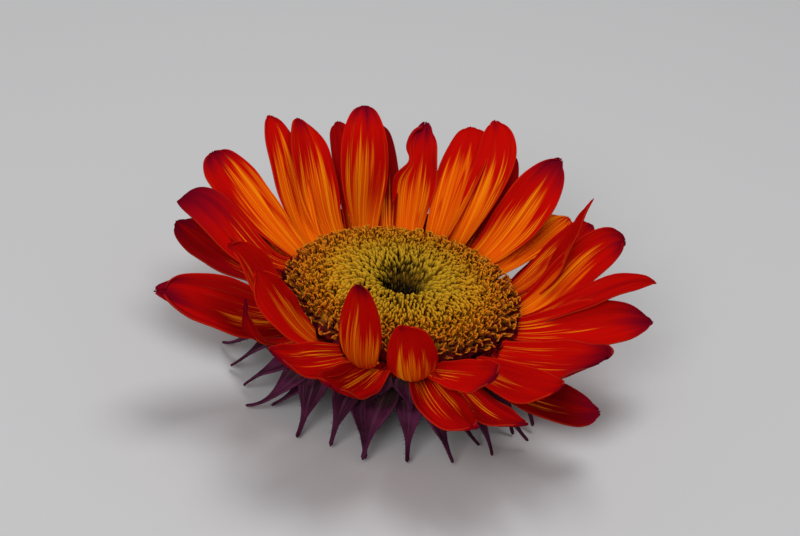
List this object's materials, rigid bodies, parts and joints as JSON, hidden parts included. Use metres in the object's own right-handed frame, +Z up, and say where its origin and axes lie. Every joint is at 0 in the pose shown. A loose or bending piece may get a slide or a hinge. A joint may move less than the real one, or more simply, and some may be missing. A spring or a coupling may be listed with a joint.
{
  "type": "red sunflower bloom",
  "caption": "Cut red sunflower head, face up: streaked red and orange ray petals round a yellow floret disc, on a cup of purple pointed bracts and a short stem stub.",
  "frame": {"origin": "middle of the flat cut face of the stem stub, on which the bloom stands", "axes": "+Z up through the middle of the disc, away from the stem; -Y is the side with the two petals that stand up in front"},
  "size_m": [0.1279, 0.13, 0.0553],
  "materials": {
    "petal": "thin living petal, red at the edges and tip and streaked orange and yellow along its veins towards the base, satin",
    "floret": "packed florets, greenish yellow round the middle, golden further out and orange brown at the edge, matt",
    "bract": "leafy bract, dull purple over green with pale veins and fine hairs",
    "stem": "green ribbed stem with a pale pithy cut face"
  },
  "bodies": {
    "root": {"ray_petals": "petal", "floret_disc": "floret", "bract_cup": "bract", "stem_stub": "stem"}
  },
  "joints": []
}
